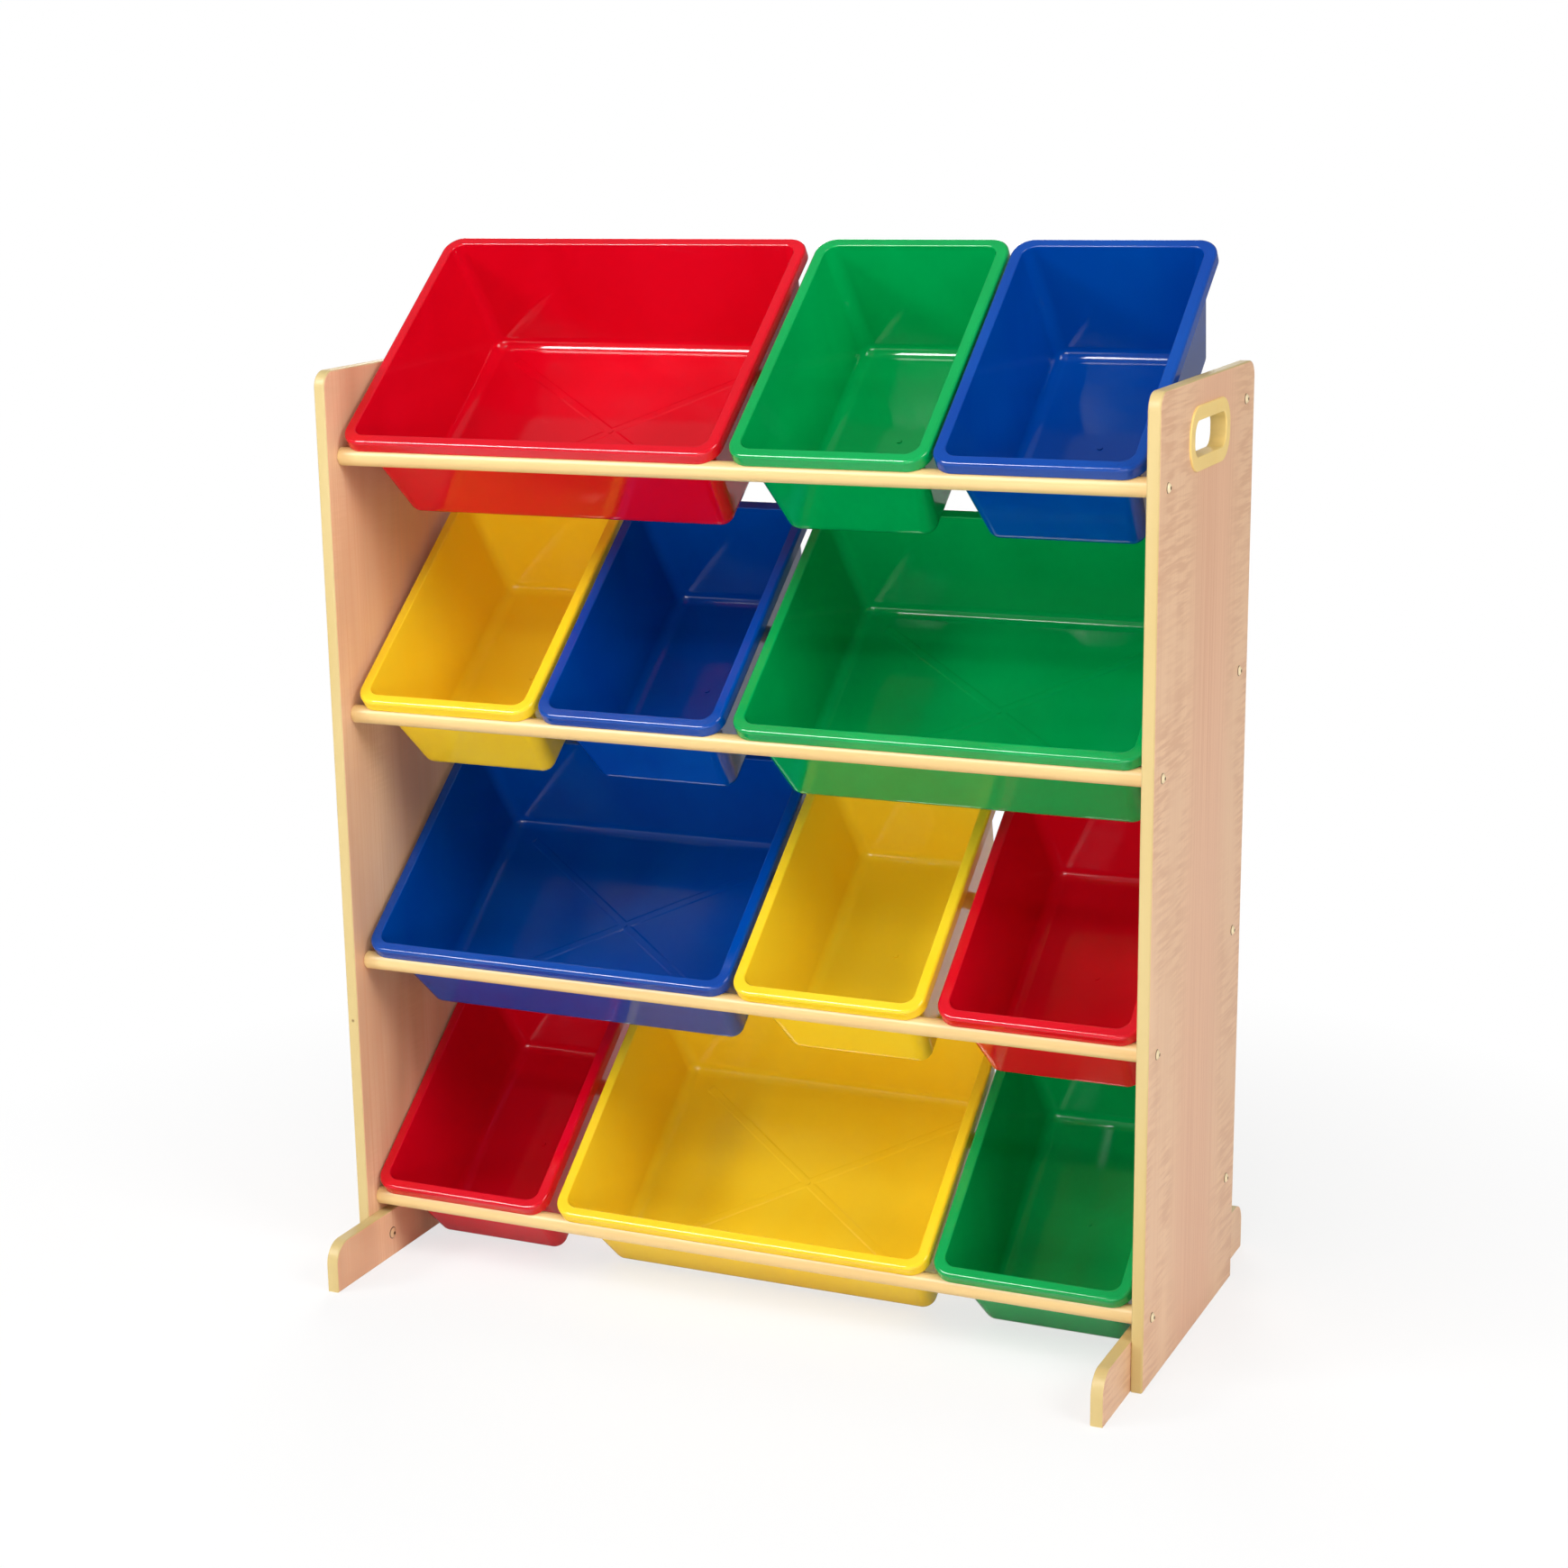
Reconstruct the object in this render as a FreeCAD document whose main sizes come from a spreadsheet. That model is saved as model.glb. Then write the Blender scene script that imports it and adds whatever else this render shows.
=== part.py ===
import FreeCAD, Part
import Sketcher
import math
import os
import re

# Storage organizer: two side boards on long feet carry four tiers of paired round rods,
# and twelve moulded tubs hang tilted between the rods, three to a tier.
# Frame: X to the right, Y to the back, Z up, origin on the floor under the middle.

SIZES = {
    # side boards
    "overall_width": 838,
    "board_height": 914,
    "board_depth": 300,
    "board_thickness": 12,
    "board_corner": 16,
    "board_edge_round": 2,
    # feet, on the inner side of each board
    "foot_length": 464,
    "foot_height": 50,
    "foot_thickness": 12,
    "foot_corner": 22,
    "foot_edge_round": 1.5,
    # rods
    "rod_diameter": 18,
    "front_rod_setback": 25.4,
    "rear_rod_setback": 29.3,
    "floor_gap": 3.42,
    "foot_rod_gap": 2,
    "top_rod_drop": 83.6,
    "rod_rise": 50,
    "rod_edge_chamfer": 0.8,
    # screws that hold the rods, and screws that hold the feet
    "rod_screw_head": 10,
    "rod_screw_dome": 2.8,
    "rod_screw_shank": 5,
    "rod_screw_reach": 38,
    "foot_screw_head": 12.6,
    "foot_screw_dome": 2.4,
    "foot_screw_shank": 6,
    "foot_screw_reach": 8,
    "foot_screw_spread": 248,
    "driver_socket": 3.2,
    "socket_depth": 1.6,
    "screw_clearance": 0.1,
    "bore_spare": 0.8,
    # hand hole and its moulded grommet
    "hand_hole_width": 100,
    "hand_hole_height": 32,
    "hand_hole_corner": 13,
    "hand_hole_drop": 52,
    "grommet_flange": 13,
    "grommet_flange_thickness": 1.8,
    "grommet_wall": 2,
    "grommet_lip": 1.6,
    "grommet_lip_thickness": 1.2,
    "grommet_clearance": 0.2,
    "flange_round": 1.2,
    "opening_round": 0.8,
    # tubs, in their own frame: Y along the rim from front to rear, Z out of the mouth
    "tub_length": 294,
    "tub_depth": 123,
    "tub_gap": 8.5,
    "tub_wall": 2,
    "rim_width": 11,
    "rim_thickness": 2.2,
    "rim_roll": 3.2,
    "skirt_depth": 12.2,
    "skirt_thickness": 1.8,
    "mouth_round": 1.6,
    "rim_corner": 20,
    "tub_corner": 14,
    "floor_front_inset": 23,
    "floor_rear_inset": 26,
    "floor_side_inset": 24,
    "rib_width": 10,
    "rib_slope": 2,
    "rib_height": 0.5,
    "rib_share": 0.9,
    "gate_width": 5.5,
    "gate_height": 1.1,
    "seat_clearance": 0.4,
}

# Tub colours from left to right on each tier, top tier first: name, slots taken
# and how far the tub sits off the middle of its slots.
TUBS = [
    ("top_red_wide_bin", 0, 0, 2, 1.0),
    ("top_green_bin", 0, 2, 1, 2.6),
    ("top_blue_bin", 0, 3, 1, -3.0),
    ("second_yellow_bin", 1, 0, 1, 3.2),
    ("second_blue_bin", 1, 1, 1, -0.8),
    ("second_green_wide_bin", 1, 2, 2, 1.6),
    ("third_blue_wide_bin", 2, 0, 2, 1.0),
    ("third_yellow_bin", 2, 2, 1, -3.2),
    ("third_red_bin", 2, 3, 1, 1.2),
    ("bottom_red_bin", 3, 0, 1, -3.0),
    ("bottom_yellow_wide_bin", 3, 1, 2, 0.4),
    ("bottom_green_bin", 3, 3, 1, -2.8),
]
TIERS = 4
SLOTS = 4
SIDES = {"left": -1, "right": 1}

doc = FreeCAD.newDocument("storage_organizer")
sheet = doc.addObject("Spreadsheet::Sheet", "Sizes")
for row, (alias, value) in enumerate(SIZES.items(), start=1):
    sheet.set("A%d" % row, alias)
    sheet.set("B%d" % row, str(value))
    sheet.setAlias("B%d" % row, alias)
for row, (name, tier, slot, span, shift) in enumerate(TUBS, start=len(SIZES) + 1):
    sheet.set("A%d" % row, name + "_shift")
    sheet.set("B%d" % row, str(shift))
    sheet.setAlias("B%d" % row, name + "_shift")
doc.recompute()


def cells(text):
    """Formula text in which every alias is read from the sheet."""
    known = set(SIZES) | {name + "_shift" for name, *_ in TUBS}

    def addressed(word):
        return "Sizes." + word.group() if word.group() in known else word.group()

    return re.sub(r"[A-Za-z]\w*", addressed, text)


def amount(text):
    """Present value of a formula over the sheet."""
    found = sheet.evalExpression(cells(text))
    return float(getattr(found, "Value", found))


def bind(target, path, text):
    target.setExpression(path, cells(text))


# Formulas that more than one piece uses.
SLOT_WIDTH = "( ( overall_width - 2 * board_thickness ) / %d )" % SLOTS
FRONT_ROD_Y = "( front_rod_setback - board_depth / 2 )"
REAR_ROD_Y = "( board_depth / 2 - rear_rod_setback )"
ROD_RUN = "( board_depth - front_rod_setback - rear_rod_setback )"
HAND_HOLE_LEVEL = "( board_height - hand_hole_drop )"
GROMMET_HOLE = "2 * ( grommet_wall + grommet_clearance )"
# A tub's skirt lies on its front rod and its floor on the rear rod, which sets its tilt.
TILT = (
    "( atan( rod_rise / " + ROD_RUN + " ) + asin( ( tub_depth - skirt_depth ) / "
    "sqrt( " + ROD_RUN + " ^ 2 + rod_rise ^ 2 ) ) )"
)
# Where the front rod's axis lies in a tub's own frame: under the skirt's edge and
# just ahead of the drafted front wall.
ROD_DROP = "( skirt_depth + seat_clearance + rod_diameter / 2 )"
WALL_INSET = "( rim_width - tub_wall )"
WALL_LEAN = "( ( floor_front_inset - " + WALL_INSET + " ) / tub_depth )"
ROD_AHEAD = (
    "( " + WALL_INSET + " + " + WALL_LEAN + " * " + ROD_DROP
    + " - rod_diameter / 2 - seat_clearance )"
)
FLOOR_MIDDLE = "( ( tub_length + floor_front_inset - floor_rear_inset ) / 2 )"
SIN_TILT, COS_TILT = "sin(" + TILT + " )", "cos(" + TILT + " )"
# The lowest tier's front rod clears the feet, and its tubs clear the floor. A tub is lowest
# on the round between its front wall and its floor.
FLOOR_ROUND_AT = (
    "( floor_front_inset + tub_corner * ( sqrt( 1 + " + WALL_LEAN + " ^ 2 ) - " + WALL_LEAN + " ) )"
)
TUB_SINK = (
    "( ( " + ROD_AHEAD + " - " + FLOOR_ROUND_AT + " ) * " + SIN_TILT
    + " + ( tub_depth - tub_corner - " + ROD_DROP + " ) * " + COS_TILT + " + tub_corner )"
)
LOWEST_ROD = (
    "max(floor_gap + " + TUB_SINK + "; foot_height + rod_diameter / 2 + foot_rod_gap)"
)
TIER_PITCH = "( ( board_height - top_rod_drop - " + LOWEST_ROD + " ) / %d )" % (TIERS - 1)


def tier_level(tier):
    """Formula for the height of a tier's front rod; tier 0 is the top one."""
    return LOWEST_ROD + " + %d * %s" % (TIERS - 1 - tier, TIER_PITCH)


def new_body(name):
    body = doc.addObject("PartDesign::Body", name)
    body.Label = name
    return body


def new_sketch(body, role, name, level=None):
    """Sketch on one of the body's own planes, moved along its normal by a formula."""
    sketch = body.newObject("Sketcher::SketchObject", name)
    plane = next(item for item in body.Origin.OriginFeatures if item.Role == role)
    sketch.AttachmentSupport = [(plane, "")]
    sketch.MapMode = "FlatFace"
    if level:
        bind(sketch, "AttachmentOffset.Base.z", level)
    return sketch


def dimension(sketch, name, text, *constraint):
    """Named dimension whose value is a formula over the sheet."""
    index = sketch.addConstraint(Sketcher.Constraint(*constraint, amount(text)))
    sketch.renameConstraint(index, name)
    bind(sketch, "Constraints." + name, text)


def height_of(sketch, name, text, line):
    """Dimension that puts a line's start at a signed height above the sketch's origin."""
    if abs(amount(text)) < 1e-9:
        sketch.addConstraint(Sketcher.Constraint("PointOnObject", line, 1, -1))
    elif amount(text) > 0:
        dimension(sketch, name, text, "DistanceY", -1, 1, line, 1)
    else:
        dimension(sketch, name, "- ( " + text + " )", "DistanceY", line, 1, -1, 1)


def chain(sketch, parts, joints):
    """Adds lines and arcs in a ring, and joins each to the next: smooth or sharp."""
    first = sketch.GeometryCount
    for part in parts:
        sketch.addGeometry(part, False)
    for i, kind in enumerate(joints):
        following = first + (i + 1) % len(parts)
        sketch.addConstraint(Sketcher.Constraint(kind, first + i, 2, following, 1))
    return first


def corner_arc(x, y, radius, start):
    """Quarter circle about (x, y) that begins at an angle in degrees."""
    circle = Part.Circle(FreeCAD.Vector(x, y, 0), FreeCAD.Vector(0, 0, 1), radius)
    return Part.ArcOfCircle(circle, math.radians(start), math.radians(start + 90))


def line(x1, y1, x2, y2):
    return Part.LineSegment(FreeCAD.Vector(x1, y1, 0), FreeCAD.Vector(x2, y2, 0))


def rounded_rectangle(sketch, name, width, low, high, corner):
    """Rectangle with four round corners, centred on the sketch's vertical axis."""
    half, y0, y1, r = amount(width) / 2, amount(low), amount(high), amount(corner)
    parts = [
        line(-half + r, y0, half - r, y0),
        corner_arc(half - r, y0 + r, r, -90),
        line(half, y0 + r, half, y1 - r),
        corner_arc(half - r, y1 - r, r, 0),
        line(half - r, y1, -half + r, y1),
        corner_arc(-half + r, y1 - r, r, 90),
        line(-half, y1 - r, -half, y0 + r),
        corner_arc(-half + r, y0 + r, r, 180),
    ]
    first = chain(sketch, parts, ["Tangent"] * 8)
    sketch.addConstraint(Sketcher.Constraint("Symmetric", first, 1, first, 2, -2))
    sketch.addConstraint(Sketcher.Constraint("Horizontal", first + 4))
    for upright in (2, 6):
        sketch.addConstraint(Sketcher.Constraint("Vertical", first + upright))
    for arc in (3, 5, 7):
        sketch.addConstraint(Sketcher.Constraint("Equal", first + 1, first + arc))
    dimension(sketch, name + "_corner", corner, "Radius", first + 1)
    dimension(sketch, name + "_width", width, "DistanceX", first + 6, 1, first + 2, 1)
    height_of(sketch, name + "_low", low, first)
    height_of(sketch, name + "_high", high, first + 4)


def plain_rectangle(sketch, width, low, high):
    """Rectangle with sharp corners, centred on the sketch's vertical axis."""
    half, y0, y1 = amount(width) / 2, amount(low), amount(high)
    corners = [(-half, y0), (half, y0), (half, y1), (-half, y1)]
    chain(sketch, [line(*corners[i], *corners[(i + 1) % 4]) for i in range(4)], ["Coincident"] * 4)
    sketch.addConstraint(Sketcher.Constraint("Symmetric", 0, 1, 0, 2, -2))
    sketch.addConstraint(Sketcher.Constraint("Horizontal", 2))
    for upright in (1, 3):
        sketch.addConstraint(Sketcher.Constraint("Vertical", upright))
    dimension(sketch, "width", width, "DistanceX", 0, 1, 0, 2)
    height_of(sketch, "low", low, 0)
    height_of(sketch, "high", high, 2)


def board_outline(sketch, length, height, corner):
    """Upright board seen from its side: square at the floor, round at its upper corners."""
    half, top, r = amount(length) / 2, amount(height), amount(corner)
    parts = [
        line(-half, 0, half, 0),
        line(half, 0, half, top - r),
        corner_arc(half - r, top - r, r, 0),
        line(half - r, top, -half + r, top),
        corner_arc(-half + r, top - r, r, 90),
        line(-half, top - r, -half, 0),
    ]
    joints = ["Coincident", "Tangent", "Tangent", "Tangent", "Tangent", "Coincident"]
    first = chain(sketch, parts, joints)
    sketch.addConstraint(Sketcher.Constraint("Symmetric", first, 1, first, 2, -2))
    sketch.addConstraint(Sketcher.Constraint("PointOnObject", first, 1, -1))
    sketch.addConstraint(Sketcher.Constraint("Horizontal", first + 3))
    for upright in (1, 5):
        sketch.addConstraint(Sketcher.Constraint("Vertical", first + upright))
    sketch.addConstraint(Sketcher.Constraint("Equal", first + 2, first + 4))
    dimension(sketch, "length", length, "DistanceX", first, 1, first, 2)
    dimension(sketch, "height", height, "DistanceY", -1, 1, first + 3, 1)
    dimension(sketch, "corner", corner, "Radius", first + 2)


def holes(sketch, radius, places):
    """Round holes of one radius, each at a signed place across and a height above zero."""
    spot = FreeCAD.Vector(0, 0, 1)
    for i, (across, up) in enumerate(places):
        x, y = amount(across), amount(up)
        sketch.addGeometry(Part.Circle(FreeCAD.Vector(x, y, 0), spot, amount(radius)), False)
        if x > 0:
            dimension(sketch, "across%d" % i, across, "DistanceX", -1, 1, i, 3)
        else:
            dimension(sketch, "across%d" % i, "- ( " + across + " )", "DistanceX", i, 3, -1, 1)
        dimension(sketch, "up%d" % i, up, "DistanceY", -1, 1, i, 3)
        if i:
            sketch.addConstraint(Sketcher.Constraint("Equal", 0, i))
    dimension(sketch, "radius", radius, "Radius", 0)


def pad(body, name, sketch, length, reverse=False):
    feature = body.newObject("PartDesign::Pad", name)
    feature.Profile = sketch
    feature.Reversed = reverse
    bind(feature, "Length", length)
    sketch.Visibility = False
    doc.recompute()
    return feature


def pocket(body, name, sketch, depth, reverse=False):
    """Cut along the sketch's normal; it has to take material away."""
    before = body.Shape.Volume
    feature = body.newObject("PartDesign::Pocket", name)
    feature.Profile = sketch
    feature.Reversed = reverse
    bind(feature, "Length", depth)
    sketch.Visibility = False
    doc.recompute()
    if body.Shape.Volume > before - 1:
        raise RuntimeError(name + " cuts nothing")
    return feature


def fillet(body, name, wanted, radius):
    """Rounds the edges of the body's last feature for which wanted(edge) holds."""
    base = body.Tip
    names = ["Edge%d" % n for n, edge in enumerate(base.Shape.Edges, 1) if wanted(edge)]
    feature = body.newObject("PartDesign::Fillet", name)
    feature.Base = (base, names)
    bind(feature, "Radius", radius)
    doc.recompute()
    return feature


def about_z(turn):
    return FreeCAD.Rotation(FreeCAD.Vector(0, 0, 1), turn)


def in_plane(edge, axis, level):
    """Whether the whole edge lies at one coordinate along an axis."""
    box = edge.BoundBox
    low, high = getattr(box, axis + "Min"), getattr(box, axis + "Max")
    return abs(low - level) < 1e-4 and abs(high - level) < 1e-4


# ---- side boards and feet -------------------------------------------------------------

def side_board(side, sign):
    """Upright board; its own frame has the outer face at X = 0."""
    body = new_body(side + "_side_board")
    bind(body, "Placement.Base.x", "%d * overall_width / 2" % sign)
    inward = sign > 0
    outline = new_sketch(body, "YZ_Plane", "outline")
    board_outline(outline, "board_depth", "board_height", "board_corner")
    pad(body, "board", outline, "board_thickness", reverse=inward)
    inner = -sign * amount("board_thickness")
    fillet(
        body, "edge_round",
        lambda edge: in_plane(edge, "X", 0) or in_plane(edge, "X", inner),
        "board_edge_round",
    )
    rod_holes = new_sketch(body, "YZ_Plane", "rod_screw_holes")
    places = [(FRONT_ROD_Y, LOWEST_ROD), (REAR_ROD_Y, LOWEST_ROD + " + rod_rise")]
    holes(rod_holes, "rod_screw_shank / 2 + screw_clearance", places)
    bores = pocket(body, "rod_screw_bores", rod_holes, "board_thickness", reverse=not inward)
    tiers = body.newObject("PartDesign::LinearPattern", "tiers")
    tiers.Originals = [bores]
    tiers.Direction = (rod_holes, ["V_Axis"])
    bind(tiers, "Length", "%d * %s" % (TIERS - 1, TIER_PITCH))
    tiers.Occurrences = TIERS
    body.Tip = tiers
    doc.recompute()
    foot_holes = new_sketch(body, "YZ_Plane", "foot_screw_holes", "%d * board_thickness" % -sign)
    holes(foot_holes, "foot_screw_shank / 2 + screw_clearance", foot_screw_places())
    pocket(body, "foot_screw_bores", foot_holes, "foot_screw_reach + bore_spare", reverse=inward)
    slot = new_sketch(body, "YZ_Plane", "hand_hole")
    rounded_rectangle(
        slot, "hole",
        "hand_hole_width + " + GROMMET_HOLE,
        HAND_HOLE_LEVEL + " - hand_hole_height / 2 - grommet_wall - grommet_clearance",
        HAND_HOLE_LEVEL + " + hand_hole_height / 2 + grommet_wall + grommet_clearance",
        "hand_hole_corner + grommet_wall + grommet_clearance",
    )
    pocket(body, "hand_hole_cut", slot, "board_thickness", reverse=not inward)
    return body


def foot_screw_places():
    level = "foot_height / 2"
    return [("- foot_screw_spread / 2", level), ("foot_screw_spread / 2", level)]


def foot(side, sign):
    """Long foot against the board's inner face, which is at X = 0 in its own frame."""
    body = new_body(side + "_foot")
    bind(body, "Placement.Base.x", "%d * ( overall_width / 2 - board_thickness )" % sign)
    inward = sign > 0
    outline = new_sketch(body, "YZ_Plane", "outline")
    board_outline(outline, "foot_length", "foot_height", "foot_corner")
    pad(body, "bar", outline, "foot_thickness", reverse=inward)
    inner = -sign * amount("foot_thickness")
    fillet(body, "edge_round", lambda edge: in_plane(edge, "X", inner), "foot_edge_round")
    spots = new_sketch(body, "YZ_Plane", "screw_holes")
    holes(spots, "foot_screw_shank / 2 + screw_clearance", foot_screw_places())
    pocket(body, "screw_bores", spots, "foot_thickness", reverse=not inward)
    return body


def grommet(side, sign):
    """Moulded lining of the hand hole: outer flange, sleeve and a narrow lip inside.

    Its own frame has the board's outer face at X = 0 and the sleeve along +X.
    """
    body = new_body(side + "_hand_grommet")
    body.Placement.Rotation = about_z(180 if sign > 0 else 0)
    bind(body, "Placement.Base.x", "%d * overall_width / 2" % sign)
    bind(body, "Placement.Base.z", HAND_HOLE_LEVEL)

    def ring_outline(name, extra, level=None):
        sketch = new_sketch(body, "YZ_Plane", name, level)
        rounded_rectangle(
            sketch, "outline",
            "hand_hole_width + 2 * ( " + extra + " )",
            "- hand_hole_height / 2 - ( " + extra + " )",
            "hand_hole_height / 2 + ( " + extra + " )",
            "hand_hole_corner + " + extra,
        )
        return sketch

    flange = pad(
        body, "flange", ring_outline("flange_outline", "grommet_flange"),
        "grommet_flange_thickness", reverse=True,
    )
    face = -amount("grommet_flange_thickness")
    fillet(body, "flange_round", lambda edge: in_plane(edge, "X", face), "flange_round")
    pad(
        body, "sleeve", ring_outline("sleeve_outline", "grommet_wall"),
        "board_thickness + grommet_clearance + grommet_lip_thickness",
    )
    lip_level = "board_thickness + grommet_clearance"
    lip = ring_outline("lip_outline", "grommet_wall + grommet_clearance + grommet_lip", lip_level)
    pad(body, "lip", lip, "grommet_lip_thickness")
    opening = ring_outline("opening_outline", "0", "- grommet_flange_thickness")
    pocket(
        body, "opening", opening,
        "board_thickness + grommet_flange_thickness + grommet_clearance + grommet_lip_thickness",
        reverse=True,
    )
    fillet(body, "opening_round", lambda edge: in_plane(edge, "X", face), "opening_round")
    return body


# ---- rods and screws ------------------------------------------------------------------

def rod(name, tier, across, lift):
    """Round rod between the boards, with a pilot bore for a screw in each end."""
    body = new_body(name)
    bind(body, "Placement.Base.y", across)
    bind(body, "Placement.Base.z", tier_level(tier) + " + " + lift)
    profile = new_sketch(body, "XY_Plane", "profile")
    half = amount("overall_width / 2 - board_thickness")
    radius = amount("rod_diameter / 2")
    bevel = amount("rod_edge_chamfer")
    bore = amount("rod_screw_shank / 2")
    floor = half - amount("rod_screw_reach + bore_spare")
    points = [
        (-half, bore), (-half, radius - bevel), (-half + bevel, radius), (half - bevel, radius),
        (half, radius - bevel), (half, bore), (floor, bore), (floor, 0), (-floor, 0), (-floor, bore),
    ]
    parts = [line(*points[i], *points[(i + 1) % 10]) for i in range(10)]
    chain(profile, parts, ["Coincident"] * 10)
    for upright in (0, 4, 6, 8):
        profile.addConstraint(Sketcher.Constraint("Vertical", upright))
    for level in (5, 9):
        profile.addConstraint(Sketcher.Constraint("Horizontal", level))
    profile.addConstraint(Sketcher.Constraint("Symmetric", 2, 1, 2, 2, -2))
    profile.addConstraint(Sketcher.Constraint("Symmetric", 0, 1, 5, 1, -2))
    profile.addConstraint(Sketcher.Constraint("Horizontal", 0, 2, 4, 1))
    profile.addConstraint(Sketcher.Constraint("PointOnObject", 7, 1, -1))
    profile.addConstraint(Sketcher.Constraint("Symmetric", 7, 1, 7, 2, -2))
    dimension(profile, "length", "overall_width - 2 * board_thickness", "DistanceX", 0, 1, 5, 1)
    dimension(profile, "radius", "rod_diameter / 2", "DistanceY", -1, 1, 2, 1)
    dimension(profile, "bevel_along", "rod_edge_chamfer", "DistanceX", 0, 2, 1, 2)
    dimension(profile, "bevel_across", "rod_edge_chamfer", "DistanceY", 0, 2, 1, 2)
    dimension(profile, "bore", "rod_screw_shank / 2", "DistanceY", -1, 1, 5, 1)
    dimension(profile, "bore_depth", "rod_screw_reach + bore_spare", "DistanceX", 5, 2, 5, 1)
    turned = body.newObject("PartDesign::Revolution", "turned")
    turned.Profile = profile
    turned.ReferenceAxis = (profile, ["H_Axis"])
    turned.Angle = 360
    profile.Visibility = False
    doc.recompute()
    return body


def screw(name, head, dome, shank, grip, reach):
    """Domed screw along +X with its head's underside at X = 0 and a six-sided socket."""
    body = new_body(name)
    profile = new_sketch(body, "XY_Plane", "profile")
    head_radius, rise = amount(head + " / 2"), amount(dome)
    centre = (head_radius ** 2 - rise ** 2) / (2 * rise)
    swing = math.degrees(math.atan2(head_radius, centre))
    ball = Part.Circle(FreeCAD.Vector(centre, 0, 0), FreeCAD.Vector(0, 0, 1), centre + rise)
    crown = Part.ArcOfCircle(ball, math.radians(180 - swing), math.radians(180))
    neck = amount(shank + " / 2 - screw_clearance")
    end, tip = amount(grip + " + " + reach), amount(shank + " / 2")
    parts = [
        crown,
        line(-rise, 0, end, 0),
        line(end, 0, end - tip, neck),
        line(end - tip, neck, 0, neck),
        line(0, neck, 0, head_radius),
    ]
    chain(profile, parts, ["Coincident"] * 5)
    profile.addConstraint(Sketcher.Constraint("PointOnObject", 0, 3, -1))
    profile.addConstraint(Sketcher.Constraint("PointOnObject", 1, 1, -1))
    profile.addConstraint(Sketcher.Constraint("Horizontal", 1))
    profile.addConstraint(Sketcher.Constraint("Horizontal", 3))
    profile.addConstraint(Sketcher.Constraint("PointOnObject", 4, 1, -2))
    profile.addConstraint(Sketcher.Constraint("PointOnObject", 4, 2, -2))
    dimension(profile, "head", head + " / 2", "DistanceY", -1, 1, 4, 2)
    dimension(profile, "dome", dome, "DistanceX", 1, 1, -1, 1)
    dimension(profile, "neck", shank + " / 2 - screw_clearance", "DistanceY", -1, 1, 4, 1)
    dimension(profile, "length", grip + " + " + reach, "DistanceX", -1, 1, 1, 2)
    dimension(profile, "tip", shank + " / 2", "DistanceX", 2, 2, 2, 1)
    turned = body.newObject("PartDesign::Revolution", "turned")
    turned.Profile = profile
    turned.ReferenceAxis = (profile, ["H_Axis"])
    turned.Angle = 360
    doc.recompute()
    socket = new_sketch(body, "YZ_Plane", "socket", "- ( " + dome + " )")
    flat = amount("driver_socket / 2") / math.cos(math.radians(30))
    turns = [math.radians(60 * i) for i in range(6)]
    ring = [(flat * math.cos(turn), flat * math.sin(turn)) for turn in turns]
    chain(socket, [line(*ring[i], *ring[(i + 1) % 6]) for i in range(6)], ["Coincident"] * 6)
    guide = Part.Circle(FreeCAD.Vector(0, 0, 0), FreeCAD.Vector(0, 0, 1), flat)
    circle = socket.addGeometry(guide, True)
    socket.addConstraint(Sketcher.Constraint("Coincident", circle, 3, -1, 1))
    for side in range(6):
        socket.addConstraint(Sketcher.Constraint("PointOnObject", side, 1, circle))
    for side in range(1, 6):
        socket.addConstraint(Sketcher.Constraint("Equal", 0, side))
    socket.addConstraint(Sketcher.Constraint("PointOnObject", 0, 1, -1))
    dimension(socket, "corner", "driver_socket / 2 / cos(30 deg )", "Radius", circle)
    pocket(body, "driver_recess", socket, "socket_depth", reverse=True)
    return body


def screw_group(name, pattern, sign, level, turn, places):
    """All the screws of one kind on one side, as one node of separate solids."""
    links = []
    for number, (across, up) in enumerate(places, start=1):
        link = doc.addObject("App::Link", "%s_%d" % (name, number))
        link.LinkedObject = pattern
        link.LinkPlacement = FreeCAD.Placement(FreeCAD.Vector(0, 0, 0), about_z(turn))
        bind(link, "LinkPlacement.Base.x", "%d * ( %s )" % (sign, level))
        bind(link, "LinkPlacement.Base.y", across)
        bind(link, "LinkPlacement.Base.z", up)
        links.append(link)
    group = doc.addObject("Part::Compound", name)
    group.Label = name
    group.Links = links
    return group


# ---- tubs -----------------------------------------------------------------------------

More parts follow.
